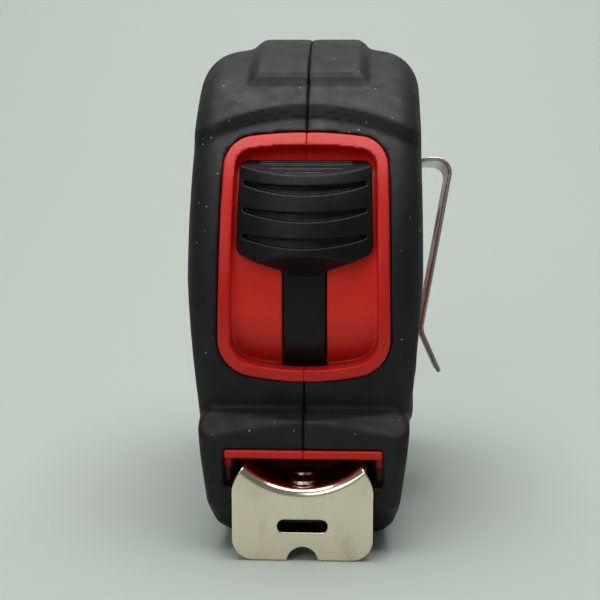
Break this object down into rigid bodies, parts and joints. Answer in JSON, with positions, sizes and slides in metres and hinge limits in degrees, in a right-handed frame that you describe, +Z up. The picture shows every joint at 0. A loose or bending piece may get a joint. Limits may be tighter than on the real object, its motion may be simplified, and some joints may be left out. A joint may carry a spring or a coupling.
{
  "type": "pocket tape measure",
  "caption": "Rubber-clad pocket tape measure with a sprung reel, curved steel blade with riveted end hook, sliding thumb lock and belt clip.",
  "frame": {"origin": "centre of the flat base on the case's parting plane", "axes": "+X across the case towards the belt clip, -Y the way the blade leaves, +Z up"},
  "size_m": [0.0506, 0.091, 0.0943],
  "materials": {
    "red_plastic": "moulded ABS, satin gloss",
    "black_rubber": "soft matt overmould",
    "badge_plastic": "smooth",
    "clip_steel": "sprung sheet, brushed",
    "screw_steel": "zinc plated",
    "axle_steel": "turned",
    "acetal": "natural acetal",
    "spring_steel": "blued strip",
    "reel_plastic": "moulded",
    "blade_yellow": "painted and coated steel strip",
    "lock_plastic": "moulded, fine texture",
    "hook_plate": "plated sheet steel, satin"
  },
  "bodies": {
    "case": {"case_left": "red_plastic", "case_right": "red_plastic", "grip_left": "black_rubber", "grip_right": "black_rubber", "side_badge": "badge_plastic", "belt_clip": "clip_steel", "clip_screw": "screw_steel", "case_screws": "screw_steel", "axle_post": "axle_steel", "thrust_washers": "acetal", "mouth_guide": "acetal", "hook_bumper": "black_rubber", "mainspring": "spring_steel"},
    "reel": {"reel_drum": "reel_plastic", "reel_cover": "reel_plastic", "blade_coil": "blade_yellow"},
    "lock": {"lock_button": "lock_plastic", "lock_tongue": "lock_plastic", "brake_pad": "black_rubber"},
    "blade": {"blade_lead": "blade_yellow", "hook_rivets": "hook_plate"},
    "hook": {"end_hook": "hook_plate"}
  },
  "joints": [
    {"name": "reel_spin", "type": "hinge", "parent": "case", "child": "reel", "pos_m": [0, -0.001, 0.05], "axis": [-1, 0, 0], "range_deg": [0, 109], "stiffness_Nm_per_rad": 0.02, "springref_deg": -57.3, "deforming": ["mainspring"]},
    {"name": "blade_pull", "type": "slide", "parent": "case", "child": "blade", "axis": [0, -1, 0], "range_m": [0, 0.06]},
    {"name": "hook_play", "type": "slide", "parent": "blade", "child": "hook", "axis": [0, -1, 0], "range_m": [0, 0.001]},
    {"name": "lock_slide", "type": "hinge", "parent": "case", "child": "lock", "pos_m": [0, -0.0055, 0.0465], "axis": [1, 0, 0], "range_deg": [0, 16]}
  ],
  "couplings": [
    {"joint": "blade_pull", "follows": "reel_spin", "m_per_rad": 0.0315}
  ]
}
